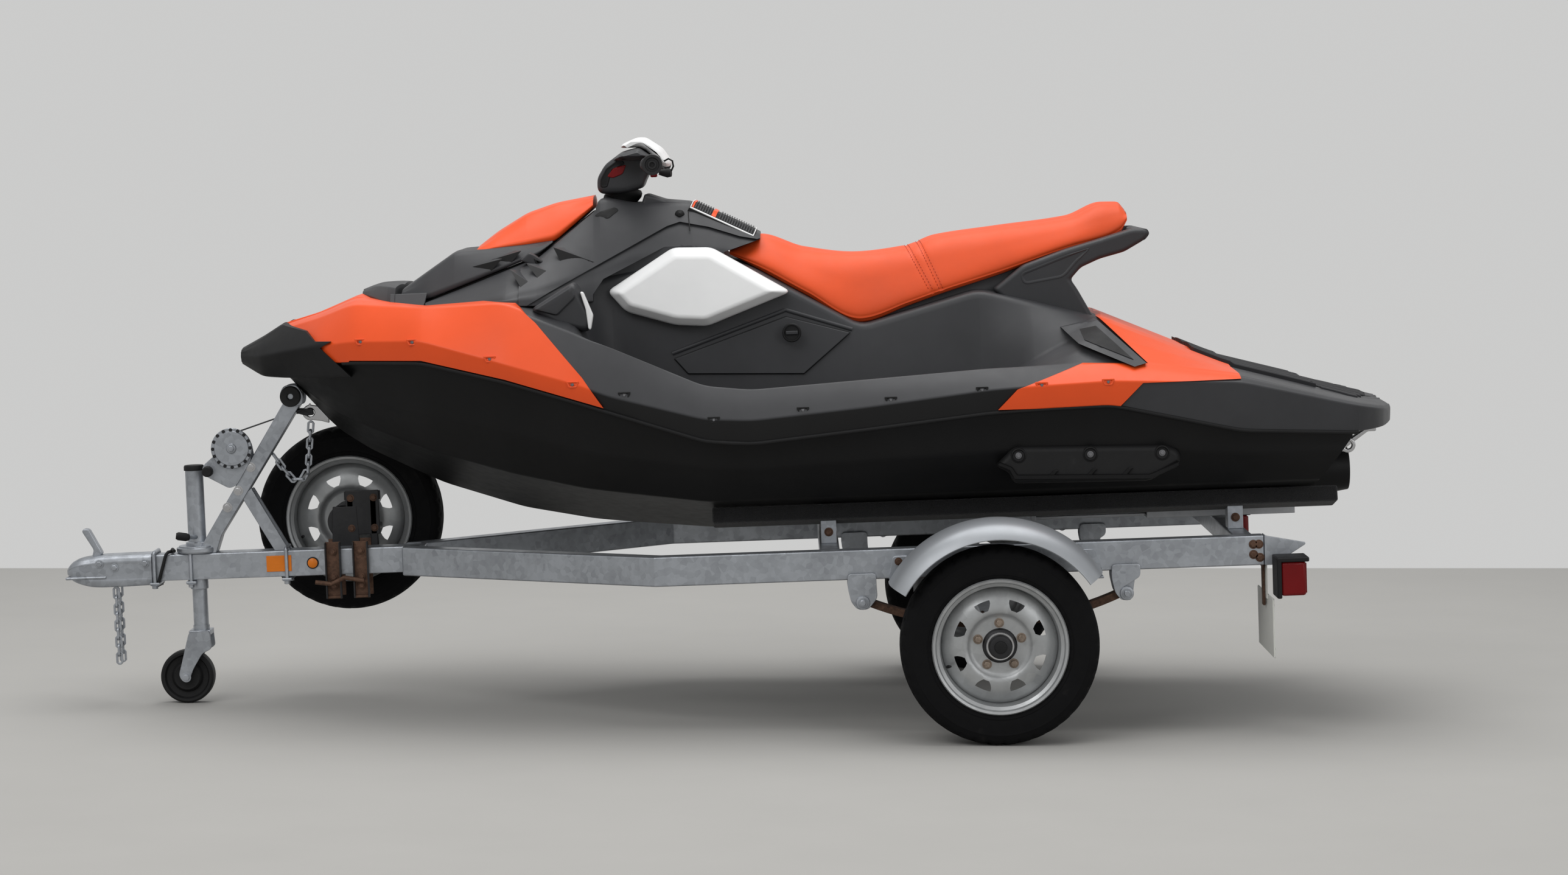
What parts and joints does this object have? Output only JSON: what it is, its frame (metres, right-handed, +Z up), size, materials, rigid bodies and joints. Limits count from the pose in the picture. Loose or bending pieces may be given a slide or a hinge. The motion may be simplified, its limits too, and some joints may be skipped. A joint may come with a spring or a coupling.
{
  "type": "personal watercraft on a trailer",
  "caption": "Small orange and black jet-driven personal watercraft with a long stepped seat, parked on its single-axle galvanised trailer with jack, winch post and spare wheel.",
  "frame": {"origin": "on the floor, at the middle of the overall length and width", "axes": "+X towards the stern, -X towards the bow and hitch, +Y to starboard, +Z up"},
  "size_m": [3.5102, 1.576, 1.5215],
  "materials": {
    "hull_black": "moulded, satin black",
    "deck_charcoal": "grained charcoal",
    "orange_panel": "satin orange",
    "white_panel": "satin white",
    "seat_vinyl": "stitched orange vinyl",
    "rubber_black": "ribbed black",
    "mat_black": "ribbed traction mat",
    "engine_grey": "plain block",
    "pump_alloy": "cast",
    "stainless": "polished bar",
    "galvanised": "mottled galvanised",
    "rim_silver": "satin silver",
    "tyre": "matte",
    "fender_silver": "satin silver",
    "carpet": "black marine carpet over timber",
    "lamp_red": "moulded lens",
    "plate_white": "blank",
    "strap_web": "woven webbing",
    "roller_rubber": "moulded"
  },
  "bodies": {
    "craft_and_trailer": {"hull": "hull_black", "engine_block": "engine_grey", "deck": "deck_charcoal", "stern_platform": "deck_charcoal", "bow_bumper": "deck_charcoal", "bow_panel": "orange_panel", "stern_panels": "orange_panel", "stern_vents": "deck_charcoal", "console": "deck_charcoal", "hinge_cover": "deck_charcoal", "knee_pads": "white_panel", "deflectors": "deck_charcoal", "sponsons": "hull_black", "seat": "seat_vinyl", "seat_support": "deck_charcoal", "traction_mats": "mat_black", "jet_pump": "pump_alloy", "ride_plate": "pump_alloy", "rails": "galvanised", "crossmembers": "galvanised", "tongue": "galvanised", "jack_tube": "galvanised", "coupler": "galvanised", "chains": "galvanised", "winch_post": "galvanised", "bow_roller": "roller_rubber", "winch": "galvanised", "lashing_eyes": "stainless", "winch_strap": "strap_web", "spare_bracket": "galvanised", "spare_tyre": "tyre", "spare_rim": "rim_silver", "axle": "galvanised", "leaf_springs": "galvanised", "spring_hangers": "galvanised", "fenders": "fender_silver", "bunks": "carpet", "brackets": "galvanised", "tail_lamps": "lamp_red", "plate": "plate_white", "access_panels": "deck_charcoal", "access_latches": "rubber_black"},
    "lid": {"storage_lid": "deck_charcoal", "hood_panel": "orange_panel"},
    "handlebars": {"steering_pod": "deck_charcoal", "handlebar_pad": "white_panel", "handlebar": "rubber_black"},
    "nozzle": {"steering_nozzle": "hull_black"},
    "impeller": {"impeller": "stainless"},
    "step": {"boarding_step": "stainless"},
    "wheel_left": {"tyre_left": "tyre", "rim_left": "rim_silver", "hub_left": "galvanised"},
    "wheel_right": {"tyre_right": "tyre", "rim_right": "rim_silver", "hub_right": "galvanised"},
    "jack_leg": {"jack_leg": "galvanised"},
    "caster_fork": {"caster_fork": "galvanised"},
    "caster_wheel": {"caster_wheel": "rubber_black"}
  },
  "joints": [
    {"name": "lid_hinge", "type": "hinge", "parent": "craft_and_trailer", "child": "lid", "pos_m": [-0.81854, 0, 1.10749], "axis": [0, -1, 0], "range_deg": [0, 58]},
    {"name": "steering", "type": "hinge", "parent": "craft_and_trailer", "child": "handlebars", "pos_m": [-0.26701, 0, 1.34887], "axis": [0.3239, 0, 0.9461], "range_deg": [-22, 22]},
    {"name": "nozzle_swing", "type": "hinge", "parent": "craft_and_trailer", "child": "nozzle", "pos_m": [1.53453, 0, 0.6304], "axis": [-0.0366, 0, 0.9993], "range_deg": [-22, 22]},
    {"name": "impeller_spin", "type": "hinge", "parent": "craft_and_trailer", "child": "impeller", "pos_m": [1.29869, 0, 0.62175], "axis": [0.9993, 0, 0.0366], "continuous": true},
    {"name": "step_fold", "type": "hinge", "parent": "craft_and_trailer", "child": "step", "pos_m": [1.5834, 0, 0.66221], "axis": [0, 1, 0], "range_deg": [0, 90]},
    {"name": "wheel_left_spin", "type": "hinge", "parent": "craft_and_trailer", "child": "wheel_left", "pos_m": [0.71191, -0.69, 0.25], "axis": [0, 1, 0], "continuous": true},
    {"name": "wheel_right_spin", "type": "hinge", "parent": "craft_and_trailer", "child": "wheel_right", "pos_m": [0.71191, 0.69, 0.25], "axis": [0, 1, 0], "continuous": true},
    {"name": "jack_slide", "type": "slide", "parent": "craft_and_trailer", "child": "jack_leg", "axis": [-0.0366, 0, 0.9993], "range_m": [0, 0.06]},
    {"name": "caster_swivel", "type": "hinge", "parent": "jack_leg", "child": "caster_fork", "pos_m": [-1.39633, 0, 0.16348], "axis": [-0.0366, 0, 0.9993], "continuous": true},
    {"name": "caster_spin", "type": "hinge", "parent": "caster_fork", "child": "caster_wheel", "pos_m": [-1.435, 0, 0.072], "axis": [0, 1, 0], "continuous": true}
  ],
  "couplings": [
    {"joint": "nozzle_swing", "follows": "steering", "ratio": 1}
  ]
}
